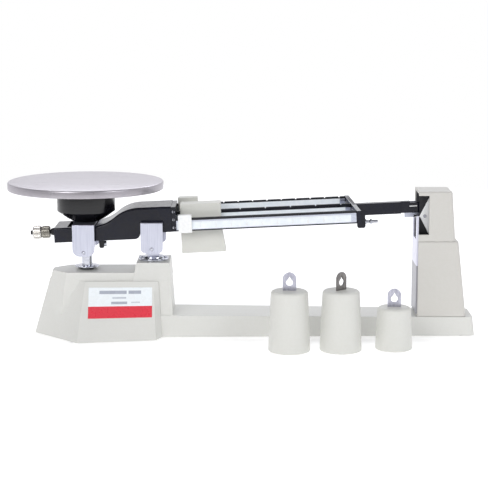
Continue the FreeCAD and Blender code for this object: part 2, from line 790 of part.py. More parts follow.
def make_end_frame():
    bar_w = TIP_BAR_HALF_W
    frame = slanted_frame()
    tip_bar = box(193.5, TIP_BAR_END_X, -bar_w, bar_w, *TIP_BAR_Z)
    lug = box(*HANGER_LUG_X, -bar_w, bar_w, HANGER_LUG_LOW_Z, TIP_BAR_Z[0] + 1)
    low_edges = edges_along(lug, ACROSS, lambda c: c.z < HANGER_LUG_LOW_Z + 0.1)
    lug = lug.makeFillet(2.0, low_edges)
    body = fuse([frame, tip_bar, lug])
    for name in BARS:
        body = body.cut(bar_solid(name, SEAT))
    body = body.cut(stud_shank(HANGER_LUG_X[0], HANGER_LUG_X[1]))
    save_beam("beam_end_frame", body)


def stud_shank(x0, x1):
    return rod(STUD_R, vec(x0, 0, HANGER_Z), vec(x1, 0, HANGER_Z))


def make_hanger_stud():
    half = STUD_COLLAR_L / 2
    low, high = STUD_R, STUD_COLLAR_R
    collar = revolve([(0, -half), (low, -half), (high, 0), (low, half), (0, half)])
    collar.rotate(vec(0, 0, 0), ACROSS, 90)
    collar.translate(vec(HANGER_X, 0, HANGER_Z))
    x1 = HANGER_LUG_X[1]
    washer = rod(2.6, vec(x1, 0, HANGER_Z), vec(x1 + 1.2, 0, HANGER_Z))
    save_beam("hanger_stud", fuse([stud_shank(HANGER_LUG_X[0], STUD_END_X), collar, washer]))


def make_tip():
    low, high = TIP_BAR_Z
    notch_top = high - TIP_NOTCH_DEPTH
    outline = [
        (TIP_BAR_END_X, low + 0.4), (TIP_X, low + 0.4), (TIP_X, notch_top),
        (TIP_NOTCH_X, notch_top), (TIP_NOTCH_X, high + 0.3), (TIP_BAR_END_X, high + 0.3),
    ]
    save_beam("beam_tip", side_prism(outline, -TIP_HALF_W, TIP_HALF_W))
    mark = box(MARK_X, MARK_X + MARK_L, -TIP_HALF_W - 0.25, -TIP_HALF_W, MARK_Z, MARK_Z + MARK_H)
    save_beam("pointer_line", mark)
    vane = box(*VANE_X, TIP_HALF_W, TIP_HALF_W + VANE_T, *VANE_Z)
    save_beam("damping_vane", vane)


# ---------------------------------------------------------------- zero adjuster
def make_zero_adjuster():
    start = BEAM_LEFT_X
    wide, narrow, length = ZERO_CONE
    cone = Part.makeCone(wide, narrow, length, vec(start, 0, ZERO_Z), vec(-1, 0, 0))
    shank = rod(ZERO_ROD_R, vec(start + ZERO_ROD_IN, 0, ZERO_Z), vec(ZERO_ROD_END_X, 0, ZERO_Z))
    save_beam("zero_rod", fuse([shank, cone]))
    for name, (x0, x1), radius, bore in (
        ("zero_lock_nut", LOCK_NUT_X, LOCK_NUT_R, ZERO_ROD_R),
        ("zero_knob", KNOB_X, KNOB_R, ZERO_ROD_R + RUNNING),
    ):
        nut = rod(radius, vec(x0, 0, ZERO_Z), vec(x1, 0, ZERO_Z))
        nut = nut.cut(rod(bore, vec(x0 - 1, 0, ZERO_Z), vec(x1 + 1, 0, ZERO_Z)))
        save_beam(name, nut)


# ---------------------------------------------------------------- riders
def make_rider(name, spec):
    x0, x1, half, low, high = spec
    y, z = BARS[name][0:2]
    body = box(x0, x1, y - half, y + half, z + low, z + high)
    if name == "middle":
        shoulder = z - 4.0
        outline = [
            (x0, z + high), (x1, z + high), (x1, shoulder),
            (x1 + MIDDLE_RIDER_FLARE, z + low), (x0, z + low),
        ]
        body = side_prism(outline, y - half, y + half)
    body = body.makeFillet(0.8, edges_along(body, ACROSS, lambda c: True))
    slot_w = BAR_T / 2 + STRIP_T + RIDER_SLOT
    slot = box(x0 - 1, x1 + 1, y - slot_w, y + slot_w, z - FREE, z + BAR_H + FREE)
    return body.cut(slot)


def make_riders():
    save_beam("back_rider", make_rider("back", BACK_RIDER))
    save_beam("middle_rider", make_rider("middle", MIDDLE_RIDER))
    save_beam("front_rider", make_rider("front", FRONT_RIDER))


# ---------------------------------------------------------------- tower
def tower_section(right, half, z):
    return closed_wire([
        vec(TOWER_LEFT_X, -half, z), vec(right, -half, z),
        vec(right, half, z), vec(TOWER_LEFT_X, half, z),
    ])


def tower_shell(low, low_z, high, high_z, top_wall):
    """Drafted cover with an open left side and an open bottom."""
    wall = TOWER_WALL
    outer = loft(tower_section(*low, low_z), tower_section(*high, high_z))
    right_edges = edges_along(outer, UP, lambda c: c.x > TOWER_LEFT_X + 10)
    outer = outer.makeFillet(4.0, right_edges)
    rim = [
        edge for edge in outer.Edges
        if edge.BoundBox.ZLength < 0.01 and edge.CenterOfMass.z > high_z - 0.1
        and edge.CenterOfMass.x > TOWER_LEFT_X + 1
    ]
    outer = outer.makeFillet(2.0, rim)
    inner_low = (low[0] - wall, low[1] - wall)
    inner_high = (high[0] - wall, high[1] - wall)
    inner = loft(
        tower_section(*inner_low, low_z), tower_section(*inner_high, high_z - top_wall)
    )
    body = outer.cut(inner)
    return body


def tower_screw_places():
    return [(TOWER_LEFT_X + 12, 0), (TOWER_LOW[0] - 14, 0)]


def make_tower():
    floor_t = 2.5
    base_z = BAR_TOP_LEFT_Z + (BAR_TOP_RIGHT_Z - BAR_TOP_LEFT_Z) * (
        (TOWER_LEFT_X - BAR_LEFT_X) / (BASE_END_X - BAR_END_DRAFT - BAR_LEFT_X)
    )
    lower = tower_shell(TOWER_LOW, base_z, TOWER_MID, TOWER_MID_Z, TOWER_WALL)
    floor_x1 = TOWER_LOW[0] - TOWER_WALL
    floor_half = TOWER_LOW[1] - TOWER_WALL
    floor = box(TOWER_LEFT_X, floor_x1, -floor_half, floor_half, base_z, base_z + floor_t)
    lower = lower.fuse(floor).removeSplitter()
    for x, y in tower_screw_places():
        lower = lower.cut(Part.makeCylinder(1.5, 20, vec(x, y, base_z - 5), UP))
    save("tower_housing", lower)
    cap = tower_shell(CAP_LOW, TOWER_MID_Z, CAP_HIGH, TOWER_TOP_Z, TOWER_WALL)
    cap = cap.cut(box(TOWER_LEFT_X - 1, WINDOW_X, -40, -10, *WINDOW_Z))
    screws, holes = cap_screws()
    for hole in holes:
        cap = cap.cut(hole)
    save("tower_cap", cap)
    for x, y in tower_screw_places():
        under = base_z - BASE_WALL
        head = Part.makeCylinder(3.0, 2.0, vec(x, y, under - 2.4), UP)
        shank = Part.makeCylinder(1.5 - RUNNING, 5.5, vec(x, y, under - 0.5), UP)
        screws.append(fuse([head, shank]))
    save_group("tower_screws", screws + [index_screw()])


def yoke_box():
    """Room for the damper: x range, Y of the vane's middle, and height range."""
    x1 = VANE_X[1] + 3.5
    x0 = x1 - MAGNET[1] - 4
    z0 = PIVOT_Z + 1.0
    return x0, x1, TIP_HALF_W + VANE_T / 2, z0, z0 + MAGNET[2]


def cap_screws():
    x0, x1, mid, z0, z1 = yoke_box()
    z = (z0 + z1) / 2
    share = (z - TOWER_MID_Z) / (TOWER_TOP_Z - TOWER_MID_Z)
    wall_x = CAP_LOW[0] + (CAP_HIGH[0] - CAP_LOW[0]) * share
    screws, holes = [], []
    for y in (mid - 5, mid + 5):
        start = vec(x1 + YOKE_T, y, z)
        shank = rod(1.4, start, vec(wall_x, y, z))
        seat_x = wall_x - SPOT_FACE
        head = rod(2.8, vec(seat_x, y, z), vec(seat_x + 1.8, y, z))
        screws.append(fuse([shank, head]))
        hole = rod(1.5, vec(wall_x - 8, y, z), vec(wall_x + 4, y, z))
        holes.append(hole.fuse(rod(2.8 + SEAT, vec(seat_x, y, z), vec(wall_x + 4, y, z))))
    return screws, holes


def make_damper():
    x0, x1, mid, z0, z1 = yoke_box()
    thick, width, _ = MAGNET
    gap = VANE_T / 2 + MAGNET_GAP
    magnets = [
        box(x0, x0 + width, mid + gap, mid + gap + thick, z0, z1),
        box(x0, x0 + width, mid - gap - thick, mid - gap, z0, z1),
    ]
    save_group("damper_magnets", magnets)
    outer = gap + thick
    yoke = fuse([
        box(x0, x1 + YOKE_T, mid + outer, mid + outer + YOKE_T, z0, z1),
        box(x0, x1 + YOKE_T, mid - outer - YOKE_T, mid - outer, z0, z1),
        box(x1, x1 + YOKE_T, mid - outer - YOKE_T, mid + outer + YOKE_T, z0, z1),
    ])
    spacer_x1 = CAP_HIGH[0] - TOWER_WALL + 0.6
    spacer = box(x1 + YOKE_T, spacer_x1, mid - 8, mid + 8, z0 + 3, z1 - 3)
    for hole in cap_screws()[1]:
        spacer = spacer.cut(hole)
    save("damper_yoke", yoke.fuse(spacer))


def make_face_plate():
    x1 = TOWER_LEFT_X
    x0 = x1 - FACE_PLATE_T
    half = CAP_LOW[1] - 0.6
    low = BAR_TOP_LEFT_Z
    plate = box(x0, x1, -half, half, low, FACE_PLATE_TOP_Z)
    slot = FACE_SLOT_HALF_W
    plate = plate.cut(box(x0, x1, -slot, slot, FACE_SLOT_Z, FACE_PLATE_TOP_Z))
    save("tower_face_plate", plate)


def make_index():
    y = INDEX_Y
    tongue = box(
        INDEX_TONGUE_X, TOWER_LEFT_X + 3, y - INDEX_T, y,
        INDEX_Z - INDEX_TONGUE_HALF_H, INDEX_Z + INDEX_TONGUE_HALF_H,
    )
    x0, x1 = TOWER_LEFT_X + 1.4, WINDOW_X + 10
    plate = box(x0, x1, y - INDEX_T, y, WINDOW_Z[0] - 3, WINDOW_Z[1] - 1)
    foot_y = -(CAP_HIGH[1] - TOWER_WALL)
    foot = box(x1 - 2, x1, foot_y, y, WINDOW_Z[0] - 3, WINDOW_Z[1] - 1)
    plate = fuse([plate, tongue, foot])
    hole_x = WINDOW_X - INDEX_SCREW_IN
    face = y - INDEX_T
    hole = rod(1.0, vec(hole_x, face - 1, INDEX_Z), vec(hole_x, y + 1, INDEX_Z))
    save("index_plate", plate.cut(hole))
    low, high = WINDOW_Z
    apex_x = TOWER_LEFT_X + 1.6
    outline = [(apex_x, INDEX_Z), (WINDOW_X + 1, low - 1), (WINDOW_X + 1, high - 2)]
    pointer = side_prism(outline, face - INDEX_MARK_T, face)
    save("index_pointer", pointer.cut(hole))


def index_screw():
    x = WINDOW_X - INDEX_SCREW_IN
    face = INDEX_Y - INDEX_T - INDEX_MARK_T
    return fuse([
        rod(1.0 - RUNNING, vec(x, face, INDEX_Z), vec(x, INDEX_Y, INDEX_Z)),
        rod(1.6, vec(x, face - 0.8, INDEX_Z), vec(x, face, INDEX_Z)),
    ])


def make_stops():
    """Rubber pads that the beam's tip meets at the two ends of its swing."""
    length, width = STOP_PAD
    x0 = TIP_X - length - 1
    rest = math.radians(REST_TILT)
    low_pose = math.radians(REST_TILT - SWING)
    tip_top = TIP_BAR_Z[1] - TIP_NOTCH_DEPTH
    top_z = PIVOT_Z + TIP_X * math.sin(rest) + tip_top * math.cos(rest) + FREE
    ceiling = TOWER_TOP_Z - TOWER_WALL
    upper = box(x0 + 1.6, x0 + 1.6 + length, -width / 2, width / 2, top_z, ceiling)
    under = TIP_BAR_Z[0] + 0.4
    low_z = PIVOT_Z + TIP_X * math.sin(low_pose) + under * math.cos(low_pose) - FREE
    lower = box(TOWER_LEFT_X, TOWER_LEFT_X + length, -width / 2, width / 2, TOWER_MID_Z, low_z - 0.6)
    save_group("stop_pads", [upper, lower])


# ---------------------------------------------------------------- attachment weights
def make_eye():
    half = EYE_W / 2
    round_z = EYE_H - half
    plate = fuse([
        box(-half, half, -EYE_T / 2, EYE_T / 2, -EYE_ROOT, round_z),
        rod(half, vec(0, -EYE_T / 2, round_z), vec(0, EYE_T / 2, round_z)),
    ])
    hole = rod(EYE_HOLE_R, vec(0, -EYE_T, EYE_HOLE_UP), vec(0, EYE_T, EYE_HOLE_UP))
    half_v = EYE_HOLE_R * 0.62
    top_v = EYE_HOLE_UP + EYE_HOLE_R * 1.75
    vee = side_prism(
        [(-half_v, EYE_HOLE_UP + 2.2), (half_v, EYE_HOLE_UP + 2.2), (0, top_v)], -EYE_T, EYE_T
    )
    return plate.cut(hole).cut(vee)


def make_weight(name, x, y, r_low, r_high, height, turn):
    body = Part.makeCone(r_low, r_high, height)
    rims = [edge for edge in body.Edges if edge.BoundBox.ZLength < 0.01]
    body = body.makeFillet(WEIGHT_EDGE_R, [e for e in rims if e.BoundBox.ZMin > 1])
    low_rim = [e for e in body.Edges if e.BoundBox.ZMax < 0.01]
    body = body.makeFillet(1.5, low_rim)
    eye = make_eye()
    eye.translate(vec(0, 0, height))
    half = EYE_W / 2
    slot = box(-half, half, -EYE_T / 2, EYE_T / 2, height - EYE_ROOT, height + 1)
    body = body.cut(slot)
    for suffix, shape in (("_body", body), ("_eye", eye)):
        shape.rotate(vec(0, 0, 0), UP, turn)
        shape.translate(vec(x, y, 0))
        save(name + suffix, shape)


make_base()
make_label()
make_fulcrum()
make_pan_support()
make_check_link()
make_beam_casting()
make_lug_screw()
make_bars()
make_end_frame()
make_hanger_stud()
make_tip()
make_zero_adjuster()
make_riders()
make_tower()
make_damper()
make_face_plate()
make_index()
make_stops()
for weight_name, weight_spec in WEIGHTS.items():
    make_weight(weight_name, *weight_spec)
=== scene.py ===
"""Looks of a triple beam balance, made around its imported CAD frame. Metres, +Z up."""
import json
import math

import bmesh
import bpy
from mathutils import Matrix, Vector


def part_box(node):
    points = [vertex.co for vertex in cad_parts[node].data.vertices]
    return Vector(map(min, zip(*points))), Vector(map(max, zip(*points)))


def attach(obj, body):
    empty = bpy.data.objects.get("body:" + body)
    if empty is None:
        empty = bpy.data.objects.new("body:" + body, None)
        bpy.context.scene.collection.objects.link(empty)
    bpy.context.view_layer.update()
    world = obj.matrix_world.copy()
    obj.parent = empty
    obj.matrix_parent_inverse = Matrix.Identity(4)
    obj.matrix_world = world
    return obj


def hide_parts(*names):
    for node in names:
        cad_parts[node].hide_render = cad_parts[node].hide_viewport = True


MM = 0.001
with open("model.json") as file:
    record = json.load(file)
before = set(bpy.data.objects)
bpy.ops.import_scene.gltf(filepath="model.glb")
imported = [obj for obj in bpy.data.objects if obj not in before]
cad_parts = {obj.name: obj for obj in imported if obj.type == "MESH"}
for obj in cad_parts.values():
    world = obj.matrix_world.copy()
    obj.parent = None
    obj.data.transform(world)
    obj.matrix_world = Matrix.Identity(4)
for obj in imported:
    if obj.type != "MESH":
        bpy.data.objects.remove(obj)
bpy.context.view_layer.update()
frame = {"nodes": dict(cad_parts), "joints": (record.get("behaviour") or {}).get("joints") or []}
joints = {joint["name"]: joint for joint in frame["joints"]}
collection = bpy.context.scene.collection


# ---------------------------------------------------------------- nodes and materials
def linear(hex_colour):
    """An sRGB hex colour as linear RGBA."""
    parts = [int(hex_colour[i:i + 2], 16) / 255 for i in (0, 2, 4)]
    return [p / 12.92 if p <= 0.04045 else ((p + 0.055) / 1.055) ** 2.4 for p in parts] + [1.0]


def add(tree, kind, inputs=None, out=0, **settings):
    """Adds a node and returns one of its outputs, or the node where out is None.
    Settings are the node's own; inputs are socket values or the sockets that feed them."""
    node = tree.nodes.new(kind)
    for name, value in settings.items():
        setattr(node, name, value)
    for key, value in (inputs or {}).items():
        if isinstance(value, bpy.types.NodeSocket):
            tree.links.new(value, node.inputs[key])
        else:
            node.inputs[key].default_value = value
    return node if out is None else node.outputs[out]


def begin(name):
    """A new material: returns it with its empty tree and its piece's coordinates in mm."""
    material = bpy.data.materials.new(name)
    material.use_nodes = True
    tree = material.node_tree
    tree.nodes.clear()
    place = add(tree, "ShaderNodeTexCoord", out="Object")
    mm = add(tree, "ShaderNodeMapping", {"Vector": place, "Scale": (1000, 1000, 1000)})
    return material, tree, mm


def end(tree, inputs):
    shader = add(tree, "ShaderNodeBsdfPrincipled", inputs)
    add(tree, "ShaderNodeOutputMaterial", {"Surface": shader}, out=None)


def surface(name, colours, sizes, roughness, depth_mm, detail=3.0, **fixed):
    """A material whose colour, roughness and relief follow one grain.
    Colours are two hex values, sizes the grain's size in mm along X, Y and Z, roughness its two
    ends, and depth_mm the relief's depth. What is fixed goes on the shader's sockets."""
    material, tree, mm = begin(name)
    scaled = add(tree, "ShaderNodeMapping", {"Vector": mm, "Scale": [1 / s for s in sizes]})
    grain = add(tree, "ShaderNodeTexNoise", {
        "Vector": scaled, "Scale": 1.0, "Detail": detail, "Roughness": 0.55})
    share = add(tree, "ShaderNodeMapRange", {"Value": grain, "From Min": 0.3, "From Max": 0.7})
    colour = add(tree, "ShaderNodeMix", {
        "Factor": share, 6: linear(colours[0]), 7: linear(colours[1])}, out=2, data_type="RGBA")
    rough = add(tree, "ShaderNodeMapRange", {
        "Value": share, "To Min": roughness[0], "To Max": roughness[1]})
    bump = add(tree, "ShaderNodeBump", {"Height": grain, "Distance": depth_mm * MM})
    end(tree, {"Base Color": colour, "Roughness": rough, "Normal": bump,
               **{key.replace("_", " "): value for key, value in fixed.items()}})
    return material


# Polyester powder coat, sprayed and baked: satin, with orange peel 2 mm across. The relief's
# grain is drawn at 2.4 mm, a little coarse, so that it shows.
PEEL = (2.4, 2.4, 2.4)
enamel = surface("powder_coat_beige", ("D9D9D5", "D7D7D2"), PEEL, (0.38, 0.44), 0.006, IOR=1.48)
# The tower in the same powder coat drawn a shade darker than the base: painted shade on the tower.
tower_enamel_painted_shade = surface(
    "powder_coat_beige_tower_painted_shade", ("CECCC7", "CCCAC4"), PEEL, (0.40, 0.46), 0.006, IOR=1.48)
weight_enamel = surface(
    "powder_coat_beige_weights", ("D8D8D3", "D6D6D0"), PEEL, (0.36, 0.42), 0.006, IOR=1.48)
rider_enamel = surface(
    "powder_coat_beige_riders", ("D6D6D0", "D4D4CD"), PEEL, (0.42, 0.48), 0.006, IOR=1.48)
white_enamel = surface(
    "powder_coat_white", ("F6F7F6", "EEEFEF"), PEEL, (0.34, 0.44), 0.015, IOR=1.48)
# Stoved gloss enamel on a die casting: blue black, mirror-like, with waves 5 mm across.
gloss_enamel = surface(
    "stoved_enamel_black", ("0B0C19", "101222"), (5, 5, 5), (0.13, 0.21), 0.010, 1.0, IOR=1.4)
# ABS from a polished mould: black, glossy, with level flow marks.
black_abs = surface(
    "moulded_abs_black", ("09090C", "111116"), (14, 14, 2.5), (0.16, 0.26), 0.012, IOR=1.53)
# Matt black lacquer on sheet metal: a fine even tooth.
matt_lacquer = surface(
    "matt_lacquer_black", ("0B0B11", "14141B"), (0.8, 0.8, 0.8), (0.5, 0.62), 0.01, IOR=1.5)
# Baked white lacquer on aluminium foil: cool white, faintly mottled.
strip_lacquer = surface(
    "lacquered_scale_strip", ("F3F8FB", "E7EEF4"), (5, 5, 5), (0.3, 0.42), 0.006, IOR=1.5)
# Screen-printed ink: blue grey, uneven in density.
ink = surface("screen_ink_grey", ("2E3646", "454F60"), (1.5, 1.5, 1.5), (0.45, 0.55), 0.002)
# Moulded nitrile rubber: dark grey, dusty and matt.
rubber = surface(
    "moulded_rubber", ("232325", "363639"), (2.5, 2.5, 2.5), (0.7, 0.85), 0.03, 6.0, IOR=1.52)
# Sintered ferrite: charcoal with pale flecks.
ferrite = surface(
    "sintered_ferrite", ("323337", "4B4C52"), (0.9, 0.9, 0.9), (0.5, 0.65), 0.02, 5.0, IOR=2.0)
# Sheet steel brushed upright and nickel plated: pale, soft, slightly violet.
satin_nickel = surface(
    "satin_nickel_sheet", ("DADCE9", "CBCDDC"), (0.9, 0.9, 30), (0.30, 0.42), 0.004, Metallic=1.0)
# Turned brass, nickel plated: bright, with level tool rings 0.7 mm apart.
turned_nickel = surface(
    "turned_nickel", ("D4D6DE", "B9BBC5"), (30, 30, 0.7), (0.12, 0.22), 0.003, Metallic=1.0)
# Knurled and nickel plated: small flats that catch the light one by one.
knurled_nickel = surface(
    "knurled_nickel", ("DEDCD8", "BFBCB6"), (0.9, 0.9, 0.9), (0.18, 0.3), 0.006, Metallic=1.0)
dull_nickel = surface(
    "knurled_dull_nickel", ("A5A29A", "7F7C74"), (0.9, 0.9, 0.9), (0.26, 0.38), 0.006, Metallic=1.0)
# Stamped steel, tumbled and left bare: grey, with fine pits.
bare_steel = surface(
    "tumbled_bare_steel", ("BCBDC3", "93949B"), (1.2, 1.2, 1.2), (0.24, 0.36), 0.01, Metallic=1.0)
eye_steel = surface(
    "tumbled_eye_steel", ("CACAD6", "AEAEBB"), (2.2, 2.2, 5), (0.26, 0.38), 0.006, Metallic=1.0)
# The same tumbled eye steel drawn darker for weight b's eye, which is turned aside: painted shade.
eye_steel_painted_shade = surface(
    "tumbled_eye_steel_painted_shade", ("8F8C8A", "747170"), (2.2, 2.2, 5), (0.3, 0.42), 0.006,
    Metallic=1.0)
# Hardened steel, ground across the edge.
ground_steel = surface(
    "ground_hard_steel", ("A6A8AF", "8D8F97"), (0.6, 20, 0.6), (0.16, 0.26), 0.002, Metallic=1.0)
# Mild steel, zinc plated: dull blue-grey spangle 6 mm across.
zinc_steel = surface(
    "zinc_plated_steel", ("A0A2A8", "86888F"), (6, 6, 6), (0.34, 0.46), 0.004, Metallic=1.0)
# Extruded aluminium, clear anodised: lines along the extrusion.
aluminium = surface(
    "anodised_aluminium", ("CDD0DC", "BFC2D0"), (40, 0.8, 0.8), (0.26, 0.38), 0.003, Metallic=1.0)
# Stainless sheet, brushed one way before it was spun; lines drawn 0.9 mm apart so they show.
stainless = surface(
    "brushed_stainless", ("B9B5BA", "ADA9AF"), (70, 0.9, 0.9), (0.26, 0.38), 0.004, Metallic=1.0)


def lacquered_bar(name, low_z, foot_mm, top_mm, tilt):
    """Anodised aluminium bar, lacquered black along its foot and its notched top edge.
    low_z is its bottom's height in mm in the beam's own frame, through the origin."""
    material, tree, mm = begin(name)
    turned = add(tree, "ShaderNodeMapping", {"Vector": mm, "Rotation": (0, tilt, 0)})
    lines = add(tree, "ShaderNodeTexNoise", {
        "Vector": add(tree, "ShaderNodeMapping", {"Vector": turned, "Scale": (0.025, 1.2, 1.2)}),
        "Scale": 1.0, "Detail": 2.0})
    up = add(tree, "ShaderNodeSeparateXYZ", {0: turned}, out=2)
    over = add(tree, "ShaderNodeMath", {0: up, 1: low_z + foot_mm}, operation="GREATER_THAN")
    under = add(tree, "ShaderNodeMath", {0: up, 1: low_z + top_mm}, operation="LESS_THAN")
    bare = add(tree, "ShaderNodeMath", {0: over, 1: under}, operation="MULTIPLY")
    metal = add(tree, "ShaderNodeMix", {
        "Factor": lines, 6: linear("DCE0EC"), 7: linear("C3C7D6")}, out=2, data_type="RGBA")
    colour = add(tree, "ShaderNodeMix", {
        "Factor": bare, 6: linear("0C0D17"), 7: metal}, out=2, data_type="RGBA")
    rough = add(tree, "ShaderNodeMapRange", {"Value": lines, "To Min": 0.22, "To Max": 0.38})
    bump = add(tree, "ShaderNodeBump", {"Height": lines, "Distance": 0.003 * MM})
    end(tree, {"Base Color": colour, "Metallic": bare, "Roughness": rough, "Normal": bump})
    return material


def vinyl_label(band_z, bars):
    """Printed vinyl under a clear laminate: white over a red band, with blank grey bars.
    Each bar is its middle's X and Z, its half width and half height in mm, and its colour."""
    material, tree, mm = begin("printed_vinyl_label")
    axes = add(tree, "ShaderNodeSeparateXYZ", {0: mm}, out=None).outputs
    mottle = add(tree, "ShaderNodeTexNoise", {"Vector": mm, "Scale": 0.16, "Detail": 2.0})
    over = add(tree, "ShaderNodeMath", {0: axes[2], 1: band_z}, operation="GREATER_THAN")
    paper, red = [
        add(tree, "ShaderNodeMix", {
            "Factor": mottle, 6: linear(first), 7: linear(second)}, out=2, data_type="RGBA")
        for first, second in (("F6FAFC", "E9F1F6"), ("E63B4C", "D83343"))]
    colour = add(tree, "ShaderNodeMix", {"Factor": over, 6: red, 7: paper}, out=2,
                 data_type="RGBA")
    for x, z, half_w, half_h, shade in bars:
        across, high = [
            add(tree, "ShaderNodeMath", {0: axes[axis], 1: middle, 2: half}, operation="COMPARE")
            for axis, middle, half in ((0, x, half_w), (2, z, half_h))]
        inside = add(tree, "ShaderNodeMath", {0: across, 1: high}, operation="MULTIPLY")
        colour = add(tree, "ShaderNodeMix", {"Factor": inside, 6: colour, 7: linear(shade)},
                     out=2, data_type="RGBA")
    rough = add(tree, "ShaderNodeMapRange", {"Value": mottle, "To Min": 0.2, "To Max": 0.36})
    bump = add(tree, "ShaderNodeBump", {"Height": mottle, "Distance": 0.03 * MM})
    end(tree, {"Base Color": colour, "Roughness": rough, "Normal": bump, "Coat Weight": 0.4})
    return material


def polished_agate():
    """Cut and polished agate: brown and cream bands about 1.5 mm apart."""
    material, tree, mm = begin("polished_agate")
    bands = add(tree, "ShaderNodeTexWave", {
        "Vector": mm, "Scale": 0.2, "Distortion": 6.0, "Detail": 3.0}, out=1,
        bands_direction="Z")
    colour = add(tree, "ShaderNodeMix", {
        "Factor": bands, 6: linear("7A4E36"), 7: linear("D6BFA2")}, out=2, data_type="RGBA")
    rough = add(tree, "ShaderNodeMapRange", {"Value": bands, "To Min": 0.1, "To Max": 0.16})
    end(tree, {"Base Color": colour, "Roughness": rough, "IOR": 1.54})
    return material


def brushed_face(level_z):
    """The tower's left plate: pale brushed aluminium above, and a duller lower half."""
    material, tree, mm = begin("brushed_aluminium_plate")
    lines = add(tree, "ShaderNodeTexNoise", {
        "Vector": add(tree, "ShaderNodeMapping", {"Vector": mm, "Scale": (1.2, 1.2, 0.04)}),
        "Scale": 1.0, "Detail": 2.0})
    up = add(tree, "ShaderNodeSeparateXYZ", {0: mm}, out=2)
    over = add(tree, "ShaderNodeMath", {0: up, 1: level_z}, operation="GREATER_THAN")
    pale, dull = [
        add(tree, "ShaderNodeMix", {
            "Factor": lines, 6: linear(first), 7: linear(second)}, out=2, data_type="RGBA")
        for first, second in (("E4E4F0", "D4D4E2"), ("A9A9AE", "96969C"))]
    colour = add(tree, "ShaderNodeMix", {"Factor": over, 6: dull, 7: pale}, out=2,
                 data_type="RGBA")
    rough = add(tree, "ShaderNodeMapRange", {"Value": lines, "To Min": 0.3, "To Max": 0.44})
    bump = add(tree, "ShaderNodeBump", {"Height": lines, "Distance": 0.004 * MM})
    end(tree, {"Base Color": colour, "Metallic": 1.0, "Roughness": rough, "Normal": bump})
    return material


# ---------------------------------------------------------------- the beam's own frame
def box_mm(node):
    low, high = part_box(node)
    return low / MM, high / MM


pivot = Vector(joints["beam_tilt"]["pos_m"])
slide = Vector(joints["front_rider_slide"]["axis"])
tilt = math.atan2(slide.z, slide.x)
beam_to_rest = Matrix.Translation(pivot) @ Matrix.Rotation(-tilt, 4, "Y")
rest_to_beam = beam_to_rest.inverted()


def beam_box(node):
    """Lowest and highest corner of a node in the beam's own frame, in mm."""
    spots = [rest_to_beam @ vertex.co / MM for vertex in frame["nodes"][node].data.vertices]
    return [Vector([pick(spot[axis] for spot in spots) for axis in range(3)])
            for pick in (min, max)]


# ---------------------------------------------------------------- making pieces
def piece(name, mesh, body, slot, *replaced):
    """Puts a finished mesh in the scene as a piece of one body, in place of some CAD nodes."""
    mesh.name = name
    made = bpy.data.objects.new(name, mesh)
    collection.objects.link(made)
    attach(made, body)
    if replaced:
        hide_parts(*replaced)
    return made


def settle(work, material, matrix=None, sharp_deg=30.0):
    """A bmesh as a mesh: merged, placed, facing outwards, smooth between sharp edges."""
    bmesh.ops.remove_doubles(work, verts=work.verts, dist=0.001 * MM)
    if matrix is not None:
        work.transform(matrix)
    bmesh.ops.recalc_face_normals(work, faces=work.faces)
    mesh = bpy.data.meshes.new("mesh")
    work.to_mesh(mesh)
    work.free()
    mesh.materials.append(material)
    mesh.shade_smooth()
    mesh.set_sharp_from_angle(angle=math.radians(sharp_deg))
    return mesh


def baked(mesh, kind, **settings):
    """The mesh after one modifier."""
    source = bpy.data.objects.new("source", mesh)
    collection.objects.link(source)
    modifier = source.modifiers.new("work", kind)
    for name, value in settings.items():
        if name == "inputs":
            for key, content in value.items():
                modifier[key] = content
        else:
            setattr(modifier, name, value)
    graph = bpy.context.evaluated_depsgraph_get()
    done = bpy.data.meshes.new_from_object(source.evaluated_get(graph))
    source.modifiers.remove(modifier)
    bpy.data.objects.remove(source)
    bpy.data.meshes.remove(mesh)
    return done


def dressed(node, body, slot, material, radius=0.0, keep=lambda middle: True, angle=25.0):
    """A CAD node again with smooth shading, its outer edges rounded to a radius in mm."""
    work = bmesh.new()
    work.from_mesh(frame["nodes"][node].data)
    bmesh.ops.remove_doubles(work, verts=work.verts, dist=0.002 * MM)
    bmesh.ops.dissolve_limit(
        work, angle_limit=math.radians(0.3), verts=work.verts, edges=work.edges)
    chosen = [
        edge for edge in work.edges
        if radius and len(edge.link_faces) == 2
        and edge.is_convex
        and edge.calc_face_angle(0.0) > math.radians(angle)
        and keep((edge.verts[0].co + edge.verts[1].co) / 2 / MM)
    ]
    if chosen:
        bmesh.ops.bevel(
            work, geom=chosen, offset=radius * MM, offset_type="OFFSET", segments=3,
            profile=0.5, affect="EDGES", clamp_overlap=True, loop_slide=True)
    mesh = baked(settle(work, material), "WEIGHTED_NORMAL", keep_sharp=True, weight=60)
    return piece(node + "_form", mesh, body, slot, node)


def lathe(profile, material, matrix, sides=96):
    """An outline of (radius, height) in mm turned round Z and placed. An outline that starts
    and ends on the axis is closed there."""
    work = bmesh.new()
    turns = [2 * math.pi * i / sides for i in range(sides)]
    rings = []
    for radius, height in profile:
        if radius < 1e-6:
            rings.append([work.verts.new((0, 0, height * MM))] * sides)
            continue
        rings.append([
            work.verts.new((radius * MM * math.cos(a), radius * MM * math.sin(a), height * MM))
            for a in turns])
    spans = len(rings) - 1 if profile[0][0] < 1e-6 else len(rings)
    for k in range(spans):
        low, high = rings[k], rings[(k + 1) % len(rings)]
        for i in range(sides):
            j = (i + 1) % sides
            corners = list(dict.fromkeys([low[i], low[j], high[j], high[i]]))
            if len(corners) > 2:
                work.faces.new(corners)
    return settle(work, material, matrix)


